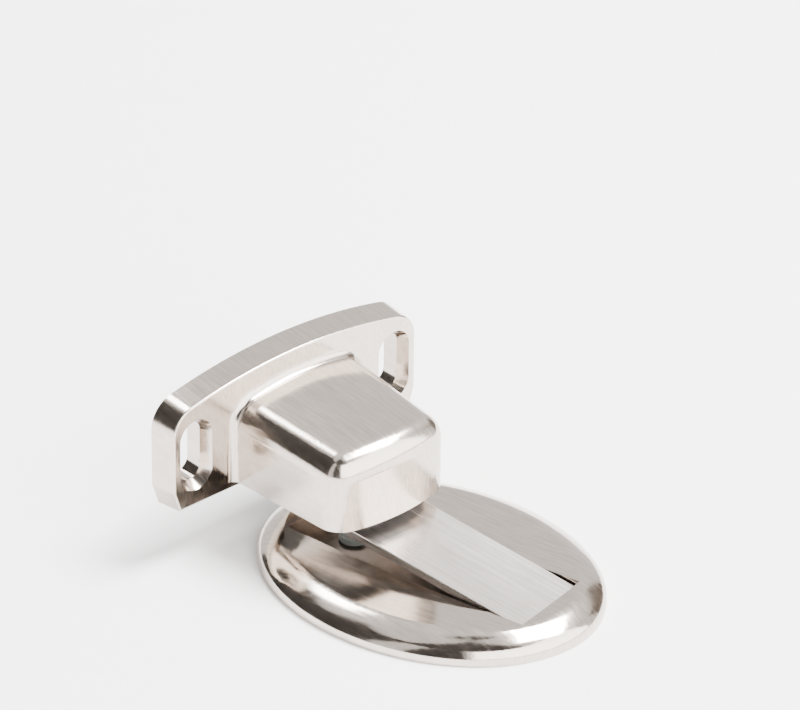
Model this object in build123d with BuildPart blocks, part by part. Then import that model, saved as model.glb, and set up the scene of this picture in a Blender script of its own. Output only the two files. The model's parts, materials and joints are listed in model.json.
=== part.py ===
from build123d import *
import math
import os

# Magnetic floor door holder, in millimetres. The floor unit stands on Z = 0 with its oval centred on
# the origin. The door bracket is screwed to a door whose face looks along -Y, and its magnet holds the
# floor unit's pivoting tongue up. The floor unit is turned a little from the door, as it is fitted.

# Floor unit: oval plate
UNIT_YAW = 11.3
PLATE_HALF_X = 26.8
PLATE_HALF_Y = 34.8
CREST_HALF_X = 21.3
CREST_HALF_Y = 29.8
CREST_Z = 4.9
RIM_HEIGHT = 1.0
DISH_DEPTH = 0.9
DISH_RINGS = (1.0, 0.86, 0.7, 0.5, 0.3)
DOME_ANGLE = 50.0
TAPE_THICKNESS = 0.5
BASE_TOP = 1.3
BASE_MARGIN = 2.6
FIT_GAP = 0.1
BASE_SCREWS = [(-15.0, 12.0), (15.0, 12.0), (-14.0, -13.0), (14.0, -13.0)]

# Floor unit: tongue, pin and buffer
TONGUE_LIFT = 8.5
TONGUE_WIDTH = 17.0
TONGUE_THICKNESS = 1.7
TONGUE_EDGE_RADIUS = 0.2
TONGUE_BACK = -26.3
TONGUE_TIP = 25.6
SLOT_WIDTH = 17.8
SLOT_BACK = -27.0
SLOT_TIP = 26.3
HINGE_Y = -19.2
HINGE_Z = 2.85
PIN_RADIUS = 0.7
PIN_LENGTH = 24.0
PIN_RUNNING_GAP = 0.05
KNUCKLE_RADIUS = 1.25
BUFFER_Y = 17.6
BUFFER_RADIUS = 2.9
BUFFER_HEIGHT = 1.2

# Door bracket: where it stands, and its flange
DOOR_X = -2.8
DOOR_FACE_Y = 40.2
FLANGE_Z = 9.8
FLANGE_HALF_WIDTH = 30.0
FLANGE_SIDE_HEIGHT = 20.8
FLANGE_MID_HEIGHT = 24.9
FLANGE_THICKNESS = 5.8
FLANGE_DRAFT = 5.4
FLANGE_FOOT_RISE = 4.5
FLANGE_FOOT_INSET = 1.4
FLANGE_SHOULDER_RADIUS = 6.0
FLANGE_EDGE_RADIUS = 0.4
SLOT_X = 24.2
SLOT_MID_HEIGHT = 11.1
SCREW_SLOT_LENGTH = 14.8
SCREW_SLOT_WIDTH = 7.6
SCREW_SLOT_SINK = 2.2
SCREW_SLOT_SLOPE = 28.0
DOOR_TAPE_THICKNESS = 0.8
DOOR_TAPE_WIDTH = 36.0
DOOR_TAPE_HEIGHT = 16.0

# Door bracket: head
FLANGE_FRONT_Y = DOOR_FACE_Y - FLANGE_THICKNESS
HEAD_BOTTOM = FLANGE_Z + 2.0
HEAD_BACK_TOP = FLANGE_Z + 19.6
HEAD_FRONT_TOP = FLANGE_Z + 17.2
HEAD_FRONT_Y = DOOR_FACE_Y - 34.6
HEAD_CORNER_Y = DOOR_FACE_Y - 32.2
HEAD_BACK_HALF = 15.3
HEAD_FRONT_HALF = 13.7
HEAD_CROWN = 2.5
HEAD_EDGE_RADIUS = 4.8
HEAD_CORNER_RADIUS = 5.0
COLLAR_RADIUS = 1.8
WALL = 2.0

# Door bracket: the magnet and its cover, inside the head
CAVITY_TOP = HEAD_BOTTOM + 10.8
COVER_BOTTOM = HEAD_BOTTOM + 0.6
COVER_TOP = COVER_BOTTOM + 2.0
COVER_SCREW_Y = DOOR_FACE_Y - 10.4
COVER_SCREWS = [(-8.5, COVER_SCREW_Y), (8.5, COVER_SCREW_Y)]
COVER_POST_RADIUS = 2.4
COVER_SCREW_RADIUS = 1.1
COVER_SCREW_HEAD = 2.0
COVER_THREAD = 5.0
MAGNET_Y = DOOR_FACE_Y - 20.7
MAGNET_FACE_Z = HEAD_BOTTOM + 0.2
MAGNET_RADIUS = 7.5
MAGNET_POST_RADIUS = 4.0
MAGNET_SCREW_RADIUS = 1.5
MAGNET_SCREW_HEAD = 3.0
MAGNET_THREAD = 6.0
CUP_RADIUS = 8.6
CUP_WALL = 1.1
CUP_BOTTOM = HEAD_BOTTOM + 0.4
CUP_TOP = CUP_BOTTOM + 5.8

YAW = math.radians(UNIT_YAW)
FLOOR = Plane(origin=(0, 0, 0), x_dir=(math.cos(YAW), math.sin(YAW), 0), z_dir=(0, 0, 1))
HINGE = Plane(FLOOR.location * Location((0, HINGE_Y, HINGE_Z), (TONGUE_LIFT, 0, 0)))
UPWARDS = (Align.CENTER, Align.CENTER, Align.MIN)


def floor_ellipse(height, inset_x, inset_y):
    """An oval on the floor unit's axes, drawn inside the rim by the two insets."""
    with BuildSketch(FLOOR.offset(height)) as oval:
        Ellipse(PLATE_HALF_X - inset_x, PLATE_HALF_Y - inset_y)
    return oval


def door_plane(y):
    """A vertical plane facing away from the door: its x is the row's X and its y is Z."""
    return Plane(origin=(DOOR_X, y, 0), x_dir=(1, 0, 0), z_dir=(0, -1, 0))


def into_door(y):
    """The same upright plane, facing the door, for cuts made from the front."""
    return Plane(origin=(DOOR_X, y, 0), x_dir=(-1, 0, 0), z_dir=(0, 1, 0))


def head_profile(y, top):
    """A cross-section wider than the head, with the head's arched top."""
    half = HEAD_BACK_HALF + 1.5
    shoulder = top - HEAD_CROWN
    with BuildSketch(door_plane(y)) as profile:
        with BuildLine():
            Polyline((-half, shoulder), (-half, HEAD_BOTTOM), (half, HEAD_BOTTOM), (half, shoulder))
            ThreePointArc((half, shoulder), (0, top), (-half, shoulder))
        make_face()
    return profile


def save(piece, name):
    piece.part.label = name
    export_step(piece.part, f"parts/{name}.step")


def head_plan(inset):
    """The head's outline from above: straight sides that taper to a bowed front."""
    back = FLANGE_FRONT_Y + 1.0 - inset
    corner = HEAD_CORNER_Y + inset * 0.8
    with BuildSketch(Plane(origin=(DOOR_X, 0, HEAD_BOTTOM))) as plan:
        with BuildLine():
            Polyline(
                (-HEAD_FRONT_HALF + inset, corner),
                (-HEAD_BACK_HALF + inset, back),
                (HEAD_BACK_HALF - inset, back),
                (HEAD_FRONT_HALF - inset, corner),
            )
            ThreePointArc(
                (HEAD_FRONT_HALF - inset, corner),
                (0, HEAD_FRONT_Y + inset),
                (-HEAD_FRONT_HALF + inset, corner),
            )
        make_face()
        fillet(plan.vertices().sort_by(Axis.Y)[:2], HEAD_CORNER_RADIUS - inset / 2)
    return plan


# Floor plate: a thin upright rim, a rounded ring up to a sharp crest, and a shallow dish inside it
with BuildPart() as floor_plate:
    rim = floor_ellipse(0, 0, 0)
    extrude(rim.sketch, amount=RIM_HEIGHT)
    dome_rings = []
    for step in range(5):
        turn = math.radians(DOME_ANGLE * step / 4)
        inward = (1 - math.cos(turn)) / (1 - math.cos(math.radians(DOME_ANGLE)))
        upward = math.sin(turn) / math.sin(math.radians(DOME_ANGLE))
        height = RIM_HEIGHT + (CREST_Z - RIM_HEIGHT) * upward
        ring = floor_ellipse(
            height, (PLATE_HALF_X - CREST_HALF_X) * inward, (PLATE_HALF_Y - CREST_HALF_Y) * inward
        )
        dome_rings.append(ring.sketch)
    loft(dome_rings)
    dish_rings = []
    for size in DISH_RINGS:
        ring = floor_ellipse(
            CREST_Z - DISH_DEPTH * (1 - size**2),
            PLATE_HALF_X - CREST_HALF_X * size,
            PLATE_HALF_Y - CREST_HALF_Y * size,
        )
        dish_rings.append(ring.sketch)
    loft(dish_rings, mode=Mode.SUBTRACT)
    base_pocket = floor_ellipse(0, BASE_MARGIN, BASE_MARGIN)
    extrude(base_pocket.sketch, amount=BASE_TOP, mode=Mode.SUBTRACT)
    with BuildSketch(FLOOR):
        with Locations((0, (SLOT_BACK + SLOT_TIP) / 2)):
            Rectangle(SLOT_WIDTH, SLOT_TIP - SLOT_BACK)
    extrude(amount=CREST_Z, mode=Mode.SUBTRACT)
    with BuildSketch(Plane(FLOOR.location * Location((0, HINGE_Y, 0)))):
        Rectangle(PIN_LENGTH, 2 * PIN_RADIUS)
    extrude(amount=HINGE_Z, mode=Mode.SUBTRACT)
    with Locations(FLOOR.location * Location((0, HINGE_Y, HINGE_Z), (0, 90, 0))):
        Cylinder(PIN_RADIUS, PIN_LENGTH, mode=Mode.SUBTRACT)
    with Locations(*[FLOOR.location * Location((x, y, BASE_TOP)) for x, y in BASE_SCREWS]):
        Cylinder(1.0, 2.0, align=UPWARDS, mode=Mode.SUBTRACT)
save(floor_plate, "floor_plate")

# Base plate: a flat steel oval under the casting, with two bosses that close the pin's grooves
with BuildPart() as base_plate:
    blank = floor_ellipse(TAPE_THICKNESS, BASE_MARGIN + FIT_GAP, BASE_MARGIN + FIT_GAP)
    extrude(blank.sketch, amount=BASE_TOP - TAPE_THICKNESS)
    boss_length = (PIN_LENGTH - SLOT_WIDTH) / 2 - 2 * FIT_GAP
    boss_x = SLOT_WIDTH / 2 + FIT_GAP + boss_length / 2
    with BuildSketch(FLOOR.offset(BASE_TOP)):
        with Locations((-boss_x, HINGE_Y), (boss_x, HINGE_Y)):
            Rectangle(boss_length, 2 * PIN_RADIUS - FIT_GAP)
    extrude(amount=HINGE_Z - PIN_RADIUS - BASE_TOP)
    with Locations(*[FLOOR.location * Location((x, y, TAPE_THICKNESS), (180, 0, 0)) for x, y in BASE_SCREWS]):
        CounterSinkHole(radius=1.0, counter_sink_radius=1.8, depth=CREST_Z)
save(base_plate, "base_plate")

# Base screws: countersunk, their heads flush under the base plate
for number, (x, y) in enumerate(BASE_SCREWS, start=1):
    with BuildPart(FLOOR.location * Location((x, y, TAPE_THICKNESS))) as base_screw:
        Cone(1.8, 1.0, 0.8, align=UPWARDS)
        Cylinder(1.0, 2.6, align=UPWARDS)
    save(base_screw, f"base_screw_{number}")

# Floor tape: the adhesive pad that the unit stands on
with BuildPart() as floor_tape:
    pad = floor_ellipse(0, BASE_MARGIN + FIT_GAP, BASE_MARGIN + FIT_GAP)
    extrude(pad.sketch, amount=TAPE_THICKNESS)
save(floor_tape, "floor_tape")

# Hinge pin, held in the floor plate's grooves
with BuildPart(FLOOR.location * Location((0, HINGE_Y, HINGE_Z), (0, 90, 0))) as hinge_pin:
    Cylinder(PIN_RADIUS, PIN_LENGTH - 0.2)
save(hinge_pin, "hinge_pin")

# Buffer: a round pad in the slot, under the tongue's free end
with BuildPart(FLOOR.location * Location((0, BUFFER_Y, BASE_TOP))) as tongue_buffer:
    Cylinder(BUFFER_RADIUS, BUFFER_HEIGHT, align=UPWARDS)
    fillet(tongue_buffer.faces().sort_by(Axis.Z)[-1].edges(), 0.3)
save(tongue_buffer, "tongue_buffer")

# Tongue: a flat plate with a knuckle near its back end, drawn about the hinge axis and lifted
with BuildPart() as tongue:
    top = CREST_Z - HINGE_Z
    with BuildSketch(HINGE.offset(top - TONGUE_THICKNESS)):
        with Locations((0, (TONGUE_BACK + TONGUE_TIP) / 2 - HINGE_Y)):
            Rectangle(TONGUE_WIDTH, TONGUE_TIP - TONGUE_BACK)
    extrude(amount=TONGUE_THICKNESS)
    fillet(tongue.faces().sort_by(Axis(HINGE.origin, HINGE.z_dir))[-1].edges(), TONGUE_EDGE_RADIUS)
    with Locations(HINGE.location * Location((0, 0, 0), (0, 90, 0))):
        Cylinder(KNUCKLE_RADIUS, TONGUE_WIDTH)
        Cylinder(PIN_RADIUS + PIN_RUNNING_GAP, TONGUE_WIDTH, mode=Mode.SUBTRACT)
save(tongue, "tongue")

# Door bracket: flange with an arched top, and a hollow head standing out of it
with BuildPart() as head:
    back_profile = head_profile(FLANGE_FRONT_Y + 1.0, HEAD_BACK_TOP)
    front_profile = head_profile(HEAD_FRONT_Y - 1.0, HEAD_FRONT_TOP)
    loft([back_profile.sketch, front_profile.sketch])
    outline = head_plan(0)
    extrude(outline.sketch, amount=HEAD_BACK_TOP, mode=Mode.INTERSECT)
    top_face = head.faces().sort_by(Axis.Z)[-1]
    top_edges = [edge for edge in top_face.edges() if edge.center().Y < FLANGE_FRONT_Y + 0.9]
    fillet(top_edges, HEAD_EDGE_RADIUS)

with BuildPart() as door_bracket:
    with BuildSketch(door_plane(DOOR_FACE_Y)) as flange_outline:
        side_top = FLANGE_Z + FLANGE_SIDE_HEIGHT
        with BuildLine():
            Polyline(
                (-FLANGE_HALF_WIDTH, side_top),
                (-FLANGE_HALF_WIDTH, FLANGE_Z + FLANGE_FOOT_RISE),
                (-FLANGE_HALF_WIDTH + FLANGE_FOOT_INSET, FLANGE_Z),
                (FLANGE_HALF_WIDTH - FLANGE_FOOT_INSET, FLANGE_Z),
                (FLANGE_HALF_WIDTH, FLANGE_Z + FLANGE_FOOT_RISE),
                (FLANGE_HALF_WIDTH, side_top),
            )
            ThreePointArc(
                (FLANGE_HALF_WIDTH, side_top),
                (0, FLANGE_Z + FLANGE_MID_HEIGHT),
                (-FLANGE_HALF_WIDTH, side_top),
            )
        make_face()
        fillet(flange_outline.vertices().sort_by(Axis.Y)[-2:], FLANGE_SHOULDER_RADIUS)
    extrude(amount=FLANGE_THICKNESS, taper=FLANGE_DRAFT)
    fillet(door_bracket.faces().sort_by(Axis.Y)[0].edges(), FLANGE_EDGE_RADIUS)
    add(head.part)
    collar_edges = [
        edge
        for edge in door_bracket.edges()
        if abs(edge.center().Y - FLANGE_FRONT_Y) < 0.01
        and abs(edge.center().X - DOOR_X) < HEAD_BACK_HALF + 0.1
        and edge.center().Z > HEAD_BOTTOM + 0.1
    ]
    fillet(collar_edges, COLLAR_RADIUS)
    cavity = head_plan(WALL)
    extrude(cavity.sketch, amount=CAVITY_TOP - HEAD_BOTTOM, mode=Mode.SUBTRACT)
    slot_places = [(-SLOT_X, FLANGE_Z + SLOT_MID_HEIGHT), (SLOT_X, FLANGE_Z + SLOT_MID_HEIGHT)]
    with BuildSketch(into_door(FLANGE_FRONT_Y)):
        with Locations(*slot_places):
            SlotOverall(SCREW_SLOT_LENGTH, SCREW_SLOT_WIDTH, rotation=90)
    extrude(amount=SCREW_SLOT_SINK, taper=SCREW_SLOT_SLOPE, mode=Mode.SUBTRACT)
    narrowing = 2 * SCREW_SLOT_SINK * math.tan(math.radians(SCREW_SLOT_SLOPE))
    with BuildSketch(into_door(FLANGE_FRONT_Y)):
        with Locations(*slot_places):
            SlotOverall(SCREW_SLOT_LENGTH - narrowing, SCREW_SLOT_WIDTH - narrowing, rotation=90)
    extrude(amount=FLANGE_THICKNESS, mode=Mode.SUBTRACT)
    with BuildSketch(door_plane(DOOR_FACE_Y)):
        with Locations((0, FLANGE_Z + FLANGE_MID_HEIGHT / 2)):
            RectangleRounded(DOOR_TAPE_WIDTH + FIT_GAP, DOOR_TAPE_HEIGHT + FIT_GAP, 2.0)
    extrude(amount=DOOR_TAPE_THICKNESS, mode=Mode.SUBTRACT)
    with Locations((DOOR_X, MAGNET_Y, CUP_TOP)):
        Cylinder(MAGNET_POST_RADIUS, CAVITY_TOP - CUP_TOP, align=UPWARDS)
    with Locations(*[(DOOR_X + x, y, COVER_TOP) for x, y in COVER_SCREWS]):
        Cylinder(COVER_POST_RADIUS, CAVITY_TOP - COVER_TOP, align=UPWARDS)
    with Locations((DOOR_X, MAGNET_Y, CUP_TOP)):
        Cylinder(MAGNET_SCREW_RADIUS, MAGNET_THREAD, align=UPWARDS, mode=Mode.SUBTRACT)
    with Locations(*[(DOOR_X + x, y, COVER_TOP) for x, y in COVER_SCREWS]):
        Cylinder(COVER_SCREW_RADIUS, COVER_THREAD, align=UPWARDS, mode=Mode.SUBTRACT)
save(door_bracket, "door_bracket")

# Door tape: the adhesive pad, flush in the back of the flange
with BuildPart() as door_tape:
    with BuildSketch(door_plane(DOOR_FACE_Y)):
        with Locations((0, FLANGE_Z + FLANGE_MID_HEIGHT / 2)):
            RectangleRounded(DOOR_TAPE_WIDTH, DOOR_TAPE_HEIGHT, 2.0)
    extrude(amount=DOOR_TAPE_THICKNESS)
save(door_tape, "door_tape")

# Magnet cover: a plastic plate that closes the head's cavity round the magnet's cup
with BuildPart() as magnet_cover:
    plate = head_plan(WALL + FIT_GAP)
    extrude(plate.sketch, amount=COVER_TOP - HEAD_BOTTOM)
    with Locations((DOOR_X, MAGNET_Y, HEAD_BOTTOM)):
        Box(60, 60, 2 * (COVER_BOTTOM - HEAD_BOTTOM), mode=Mode.SUBTRACT)
        Cylinder(CUP_RADIUS + FIT_GAP, 60, mode=Mode.SUBTRACT)
    with Locations(*[Location((DOOR_X + x, y, COVER_BOTTOM), (180, 0, 0)) for x, y in COVER_SCREWS]):
        CounterSinkHole(radius=COVER_SCREW_RADIUS, counter_sink_radius=COVER_SCREW_HEAD, depth=5)
save(magnet_cover, "magnet_cover")

for number, (x, y) in enumerate(COVER_SCREWS, start=1):
    with BuildPart(Location((DOOR_X + x, y, COVER_BOTTOM))) as cover_screw:
        Cone(COVER_SCREW_HEAD, COVER_SCREW_RADIUS, COVER_SCREW_HEAD - COVER_SCREW_RADIUS, align=UPWARDS)
        Cylinder(COVER_SCREW_RADIUS, COVER_TOP - COVER_BOTTOM + COVER_THREAD - 0.2, align=UPWARDS)
    save(cover_screw, f"cover_screw_{number}")

# Magnet cup: a steel cup, open downwards, on the post inside the head
with BuildPart(Location((DOOR_X, MAGNET_Y, CUP_BOTTOM))) as magnet_cup:
    Cylinder(CUP_RADIUS, CUP_TOP - CUP_BOTTOM, align=UPWARDS)
    Cylinder(MAGNET_RADIUS, CUP_TOP - CUP_BOTTOM - CUP_WALL, align=UPWARDS, mode=Mode.SUBTRACT)
    Cylinder(MAGNET_SCREW_RADIUS, 20, align=UPWARDS, mode=Mode.SUBTRACT)
save(magnet_cup, "magnet_cup")

# Head magnet: a ring with a countersunk middle, its face just below the cup's rim
with BuildPart(Location((DOOR_X, MAGNET_Y, MAGNET_FACE_Z))) as head_magnet:
    magnet_height = CUP_TOP - CUP_WALL - MAGNET_FACE_Z
    Cylinder(MAGNET_RADIUS, magnet_height, align=UPWARDS)
    Cylinder(MAGNET_SCREW_RADIUS, magnet_height, align=UPWARDS, mode=Mode.SUBTRACT)
    Cone(
        MAGNET_SCREW_HEAD,
        MAGNET_SCREW_RADIUS,
        MAGNET_SCREW_HEAD - MAGNET_SCREW_RADIUS,
        align=UPWARDS,
        mode=Mode.SUBTRACT,
    )
save(head_magnet, "head_magnet")

with BuildPart(Location((DOOR_X, MAGNET_Y, MAGNET_FACE_Z))) as magnet_screw:
    Cone(
        MAGNET_SCREW_HEAD,
        MAGNET_SCREW_RADIUS,
        MAGNET_SCREW_HEAD - MAGNET_SCREW_RADIUS,
        align=UPWARDS,
    )
    Cylinder(MAGNET_SCREW_RADIUS, CUP_TOP - MAGNET_FACE_Z + MAGNET_THREAD - 0.2, align=UPWARDS)
save(magnet_screw, "magnet_screw")
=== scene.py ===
import json
import math

import bmesh
import bpy
from mathutils import Matrix, Vector

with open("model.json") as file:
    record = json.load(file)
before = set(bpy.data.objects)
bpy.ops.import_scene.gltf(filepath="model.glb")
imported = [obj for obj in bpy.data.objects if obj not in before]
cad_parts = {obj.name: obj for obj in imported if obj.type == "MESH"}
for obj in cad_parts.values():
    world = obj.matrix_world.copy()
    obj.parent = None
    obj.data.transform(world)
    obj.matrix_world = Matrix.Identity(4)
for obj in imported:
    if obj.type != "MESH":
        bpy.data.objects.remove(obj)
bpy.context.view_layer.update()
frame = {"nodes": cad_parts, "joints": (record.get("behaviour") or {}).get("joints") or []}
NODES = frame["nodes"]
HINGE = [joint for joint in frame["joints"] if joint["name"] == "tongue_hinge"][0]
HINGE_AXIS = Vector(HINGE["axis"])
UNIT_YAW = math.atan2(HINGE_AXIS.y, HINGE_AXIS.x)
TONGUE_LIFT = -math.radians(HINGE["range_deg"][0])

# Camera: the photograph's viewing angle
CAMERA_AZIMUTH = -42.15
CAMERA_ELEVATION = 30.92
CAMERA_ROLL = 0.61
CAMERA_DISTANCE = 1.001
CAMERA_AIM = Vector((0.0110, 0.0212, 0.0333))
CAMERA_LENS = 244.6
SENSOR_WIDTH = 36.0

# Studio: what the metal reflects lies on a sphere about the object, by azimuth and elevation in degrees
PATCH_RADIUS = 1.6
PATCH_STEPS = 12
LIGHT_AIM = Vector((0, 0.01, 0.02))
FLOOR_HALF = 4.0
PALE = (0.90, 0.90, 0.90)
BLACK = (0.012, 0.010, 0.009)
BROWN = (0.07, 0.055, 0.045)
WHITE = (1.0, 0.99, 0.98)


def add_camera():
    data = bpy.data.cameras.new("camera")
    data.lens = CAMERA_LENS
    data.sensor_width = SENSOR_WIDTH
    data.clip_start = 0.01
    data.clip_end = 20.0
    camera = bpy.data.objects.new("camera", data)
    bpy.context.collection.objects.link(camera)
    turn = Matrix.Rotation(math.radians(CAMERA_AZIMUTH), 4, "Z")
    tilt = Matrix.Rotation(math.radians(90 - CAMERA_ELEVATION), 4, "X")
    roll = Matrix.Rotation(math.radians(CAMERA_ROLL), 4, "Z")
    facing = turn @ tilt @ roll
    back = (facing @ Vector((0, 0, 1))).normalized()
    camera.matrix_world = Matrix.Translation(CAMERA_AIM + back * CAMERA_DISTANCE) @ facing
    bpy.context.scene.camera = camera


# Materials


def new_material(name):
    material = bpy.data.materials.new(name)
    material.use_nodes = True
    tree = material.node_tree
    return material, tree, tree.nodes["Principled BSDF"]


def node(tree, kind, **values):
    made = tree.nodes.new(kind)
    for key, value in values.items():
        if isinstance(value, (int, float, tuple)) and key in made.inputs:
            made.inputs[key].default_value = value
        else:
            setattr(made, key, value)
    return made


def streak_coordinates(tree, grain, turn=(0.0, 0.0, 0.0)):
    """Object coordinates, turned to the grain and squeezed across it."""
    place = node(tree, "ShaderNodeTexCoord")
    turned = node(tree, "ShaderNodeMapping", Rotation=turn)
    squeezed = node(tree, "ShaderNodeMapping", Scale=grain)
    tree.links.new(place.outputs["Object"], turned.inputs["Vector"])
    tree.links.new(turned.outputs["Vector"], squeezed.inputs["Vector"])
    return squeezed.outputs["Vector"]


def ramp(tree, source, low, high, dark, light):
    """A remap of a texture's value from low..high to dark..light."""
    made = node(tree, "ShaderNodeMapRange")
    made.inputs["From Min"].default_value = low
    made.inputs["From Max"].default_value = high
    made.inputs["To Min"].default_value = dark
    made.inputs["To Max"].default_value = light
    tree.links.new(source, made.inputs["Value"])
    return made.outputs["Result"]


def brushed_metal(name, colour, roughness, grain, turn=(0.0, 0.0, 0.0), depth=0.05, anisotropy=0.25):
    """Satin metal: fine streaks along the grain, and a slow cloudiness over them."""
    material, tree, shader = new_material(name)
    vector = streak_coordinates(tree, grain, turn)
    fine = node(tree, "ShaderNodeTexNoise", Scale=1.0, Detail=6.0, Roughness=0.65)
    tree.links.new(vector, fine.inputs["Vector"])
    place = node(tree, "ShaderNodeTexCoord")
    cloud = node(tree, "ShaderNodeTexNoise", Scale=90.0, Detail=3.0)
    tree.links.new(place.outputs["Object"], cloud.inputs["Vector"])
    streak = fine.outputs["Fac"]
    mixed = node(tree, "ShaderNodeMix", data_type="RGBA")
    mixed.inputs["A"].default_value = (*[c * 0.84 for c in colour], 1.0)
    mixed.inputs["B"].default_value = (*[min(1.0, c * 1.06) for c in colour], 1.0)
    tree.links.new(ramp(tree, streak, 0.3, 0.7, 0.0, 1.0), mixed.inputs["Factor"])
    tree.links.new(mixed.outputs["Result"], shader.inputs["Base Color"])
    rough = node(tree, "ShaderNodeMath", operation="ADD")
    tree.links.new(ramp(tree, streak, 0.3, 0.7, roughness - 0.05, roughness + 0.05), rough.inputs[0])
    tree.links.new(ramp(tree, cloud.outputs["Fac"], 0.3, 0.7, -0.03, 0.03), rough.inputs[1])
    tree.links.new(rough.outputs["Value"], shader.inputs["Roughness"])
    bump = node(tree, "ShaderNodeBump", Strength=depth, Distance=0.0002)
    tree.links.new(streak, bump.inputs["Height"])
    tree.links.new(bump.outputs["Normal"], shader.inputs["Normal"])
    shader.inputs["Metallic"].default_value = 1.0
    shader.inputs["Anisotropic"].default_value = anisotropy
    return material


def speckled(name, colour, roughness, scale, depth=0.1, metallic=0.0):
    """A fine-grained surface, such as moulded plastic, foam, rubber or plated steel."""
    material, tree, shader = new_material(name)
    place = node(tree, "ShaderNodeTexCoord")
    grain = node(tree, "ShaderNodeTexNoise", Scale=scale, Detail=4.0)
    tree.links.new(place.outputs["Object"], grain.inputs["Vector"])
    mixed = node(tree, "ShaderNodeMix", data_type="RGBA")
    mixed.inputs["A"].default_value = (*[c * 0.8 for c in colour], 1.0)
    mixed.inputs["B"].default_value = (*[min(1.0, c * 1.15) for c in colour], 1.0)
    tree.links.new(grain.outputs["Fac"], mixed.inputs["Factor"])
    tree.links.new(mixed.outputs["Result"], shader.inputs["Base Color"])
    lowest = max(0.02, roughness - 0.08)
    rough = ramp(tree, grain.outputs["Fac"], 0.3, 0.7, lowest, roughness + 0.08)
    tree.links.new(rough, shader.inputs["Roughness"])
    bump = node(tree, "ShaderNodeBump", Strength=depth, Distance=0.0003)
    tree.links.new(grain.outputs["Fac"], bump.inputs["Height"])
    tree.links.new(bump.outputs["Normal"], shader.inputs["Normal"])
    shader.inputs["Metallic"].default_value = metallic
    return material


def dress(name, material):
    for slot in NODES[name].material_slots:
        slot.material = material


def dress_nodes():
    nickel = (0.57, 0.505, 0.45)
    along_plate = (0.0, 0.0, -UNIT_YAW)
    bracket = brushed_metal("nickel_bracket", nickel, 0.17, (2600.0, 120.0, 500.0), depth=0.06)
    dress("door_bracket", bracket)
    plate = brushed_metal("nickel_plate", nickel, 0.12, (2000.0, 160.0, 900.0), along_plate, depth=0.04)
    dress("floor_plate", plate)
    lift = (-TONGUE_LIFT, 0.0, -UNIT_YAW)
    flap = brushed_metal("nickel_tongue", (0.92, 0.85, 0.80), 0.22, (2600.0, 50.0, 900.0), lift, depth=0.008)
    dress("tongue", flap)
    steel = speckled("plated_steel", (0.62, 0.62, 0.61), 0.32, 900.0, 0.05, 1.0)
    for name in ("hinge_pin", "magnet_cup", "magnet_screw"):
        dress(name, steel)
    for name in ("base_screw_1", "base_screw_2", "base_screw_3", "base_screw_4"):
        dress(name, steel)
    for name in ("cover_screw_1", "cover_screw_2"):
        dress(name, steel)
    # Painted shade: the base plate is coloured far darker than plain steel, to stand in for the shadow in
    # the slot under the tongue's edge.
    dress("base_plate", speckled("base_plate_painted_shade", (0.13, 0.11, 0.095), 0.22, 400.0, 0.02, 1.0))
    dress("head_magnet", speckled("magnet_plating", (0.66, 0.66, 0.67), 0.12, 500.0, 0.02, 1.0))
    dress("magnet_cover", speckled("cover_plastic", (0.03, 0.03, 0.032), 0.45, 1800.0, 0.12))
    dress("tongue_buffer", speckled("buffer_rubber", (0.22, 0.24, 0.23), 0.7, 2500.0, 0.2))
    foam = speckled("foam_tape", (0.80, 0.80, 0.77), 0.85, 3000.0, 0.3)
    for name in ("floor_tape", "door_tape"):
        dress(name, foam)


# Floor, patches and lights


def flat_material(name, colour, roughness=0.9, glow=0.0):
    material, tree, shader = new_material(name)
    shader.inputs["Base Color"].default_value = (*colour, 1.0)
    shader.inputs["Emission Color"].default_value = (*colour, 1.0)
    shader.inputs["Emission Strength"].default_value = glow
    shader.inputs["Roughness"].default_value = roughness
    return material


def along(limits, step):
    """The angle in radians at one step between two limits in degrees."""
    return math.radians(limits[0] + (limits[1] - limits[0]) * step / PATCH_STEPS)


def direction(azimuth, elevation):
    level = math.cos(elevation)
    return Vector((math.cos(azimuth) * level, math.sin(azimuth) * level, math.sin(elevation)))


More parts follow.
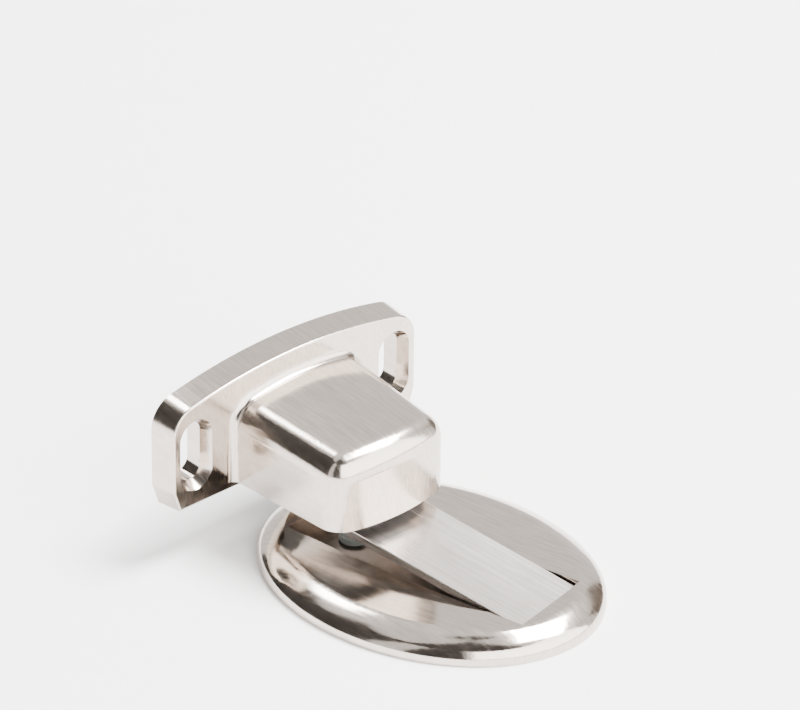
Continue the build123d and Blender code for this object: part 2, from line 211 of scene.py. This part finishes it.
def add_patch(name, azimuths, elevations, colour, glow=0.0):
    """Part of a sphere about the object, outside the picture, that its metal reflects."""
    row = PATCH_STEPS + 1
    points = []
    for i in range(row):
        for j in range(row):
            points.append(direction(along(azimuths, i), along(elevations, j)) * PATCH_RADIUS)
    faces = []
    for i in range(PATCH_STEPS):
        for j in range(PATCH_STEPS):
            corner = i * row + j
            faces.append((corner, corner + 1, corner + row + 1, corner + row))
    mesh = bpy.data.meshes.new(name)
    mesh.from_pydata(points, [], faces)
    patch = bpy.data.objects.new(name, mesh)
    bpy.context.collection.objects.link(patch)
    patch.data.materials.append(flat_material(name + "_paint", colour, glow=glow))


def add_floor():
    mesh = bpy.data.meshes.new("floor")
    shape = bmesh.new()
    bmesh.ops.create_grid(shape, x_segments=1, y_segments=1, size=FLOOR_HALF)
    shape.to_mesh(mesh)
    shape.free()
    floor = bpy.data.objects.new("floor", mesh)
    bpy.context.collection.objects.link(floor)
    floor.data.materials.append(flat_material("floor_paint", PALE))


def add_light(name, place, size, power):
    data = bpy.data.lights.new(name, "AREA")
    data.shape = "RECTANGLE"
    data.size, data.size_y = size
    data.energy = power
    light = bpy.data.objects.new(name, data)
    bpy.context.collection.objects.link(light)
    aim = (LIGHT_AIM - Vector(place)).to_track_quat("-Z", "Y").to_matrix().to_4x4()
    light.matrix_world = Matrix.Translation(place) @ aim


def add_world(colour, strength):
    world = bpy.data.worlds.new("studio")
    world.use_nodes = True
    world.node_tree.nodes["Background"].inputs["Color"].default_value = (*colour, 1.0)
    world.node_tree.nodes["Background"].inputs["Strength"].default_value = strength
    bpy.context.scene.world = world


add_camera()
dress_nodes()
add_floor()
add_world((1.0, 0.985, 0.97), 1.55)
add_patch("door_side_dark", (92, 150), (-2, 50), BLACK)
add_patch("left_dark", (150, 174), (-2, 64), BLACK)
add_patch("left_upper_dark", (116, 150), (50, 64), BLACK)
add_patch("behind_camera_dark", (192, 224), (-2, 60), BLACK)
add_patch("ceiling_dark", (168, 282), (60, 98), BLACK)
add_patch("right_dark", (-12, 16), (-2, 28), BROWN)
add_patch("front_box", (-132, -30), (4, 58), WHITE, glow=3.8)
add_light("key", (0.62, -0.2, 1.3), (0.6, 0.6), 95.0)
add_light("rim", (0.06, 0.85, 1.17), (0.32, 0.26), 8.0)
